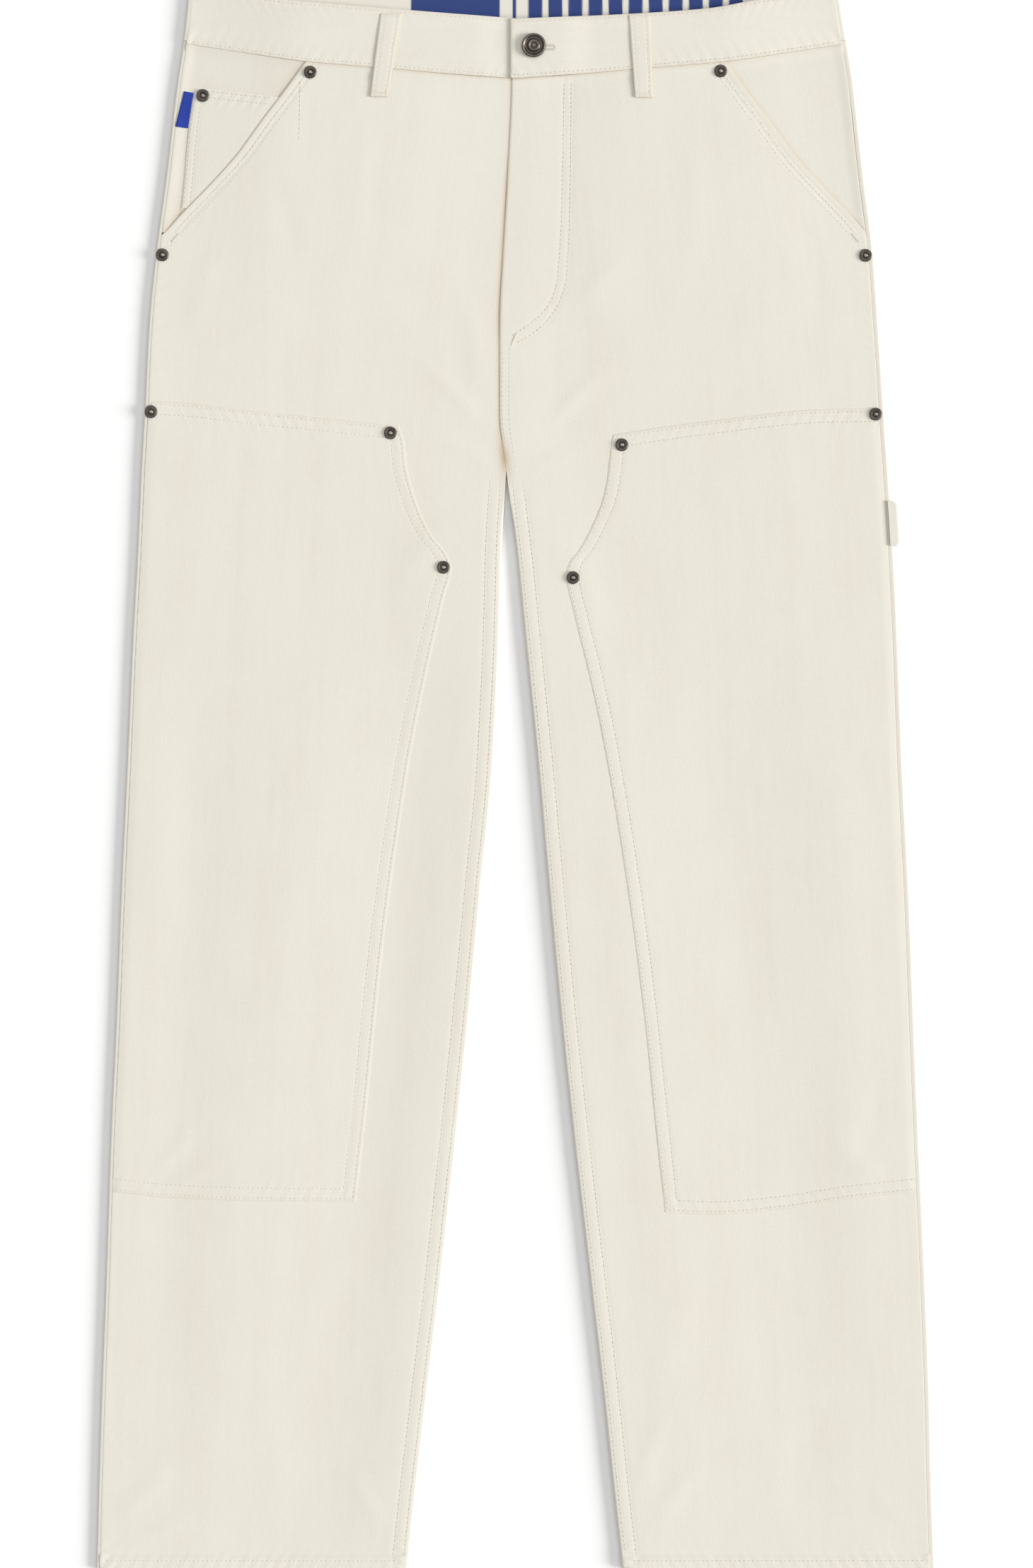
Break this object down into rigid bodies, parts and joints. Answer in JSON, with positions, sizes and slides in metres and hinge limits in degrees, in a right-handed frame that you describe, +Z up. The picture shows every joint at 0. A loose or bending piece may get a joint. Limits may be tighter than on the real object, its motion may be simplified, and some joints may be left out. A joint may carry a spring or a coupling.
{
  "type": "wide double-knee cotton jeans, laid flat",
  "caption": "Wide cream double-knee jeans laid flat, front up, with slant pockets, a coin pocket, riveted knee panels and a hammer loop.",
  "frame": {"origin": "bottom centre of the laid garment's box, on the surface that it lies on", "axes": "+X to the wearer's left side, +Y up the body to the waist, +Z up from the surface, through the front"},
  "size_m": [0.5928, 1.124, 0.0115],
  "materials": {
    "cream_cotton": "heavy cotton twill, matt",
    "blue_tab": "woven ribbon, plain",
    "antique_metal": "dark antique, worn"
  },
  "bodies": {
    "root": {"front_right": "cream_cotton", "front_left": "cream_cotton", "back_right": "cream_cotton", "back_left": "cream_cotton", "facing_right": "cream_cotton", "facing_left": "cream_cotton", "coin_pocket": "cream_cotton", "side_tab": "blue_tab", "knee_right": "cream_cotton", "knee_left": "cream_cotton", "waistband_front_right": "cream_cotton", "waistband_front_left": "cream_cotton", "waistband_back": "cream_cotton", "belt_loop_right": "cream_cotton", "belt_loop_left": "cream_cotton", "hammer_loop": "cream_cotton", "waist_button": "antique_metal", "rivet_pocket_top_right": "antique_metal", "rivet_pocket_top_left": "antique_metal", "rivet_pocket_foot_right": "antique_metal", "rivet_pocket_foot_left": "antique_metal", "rivet_coin_pocket": "antique_metal", "rivet_knee_side_right": "antique_metal", "rivet_knee_side_left": "antique_metal", "rivet_knee_corner_right": "antique_metal", "rivet_knee_corner_left": "antique_metal", "rivet_knee_point_right": "antique_metal", "rivet_knee_point_left": "antique_metal"}
  },
  "joints": []
}
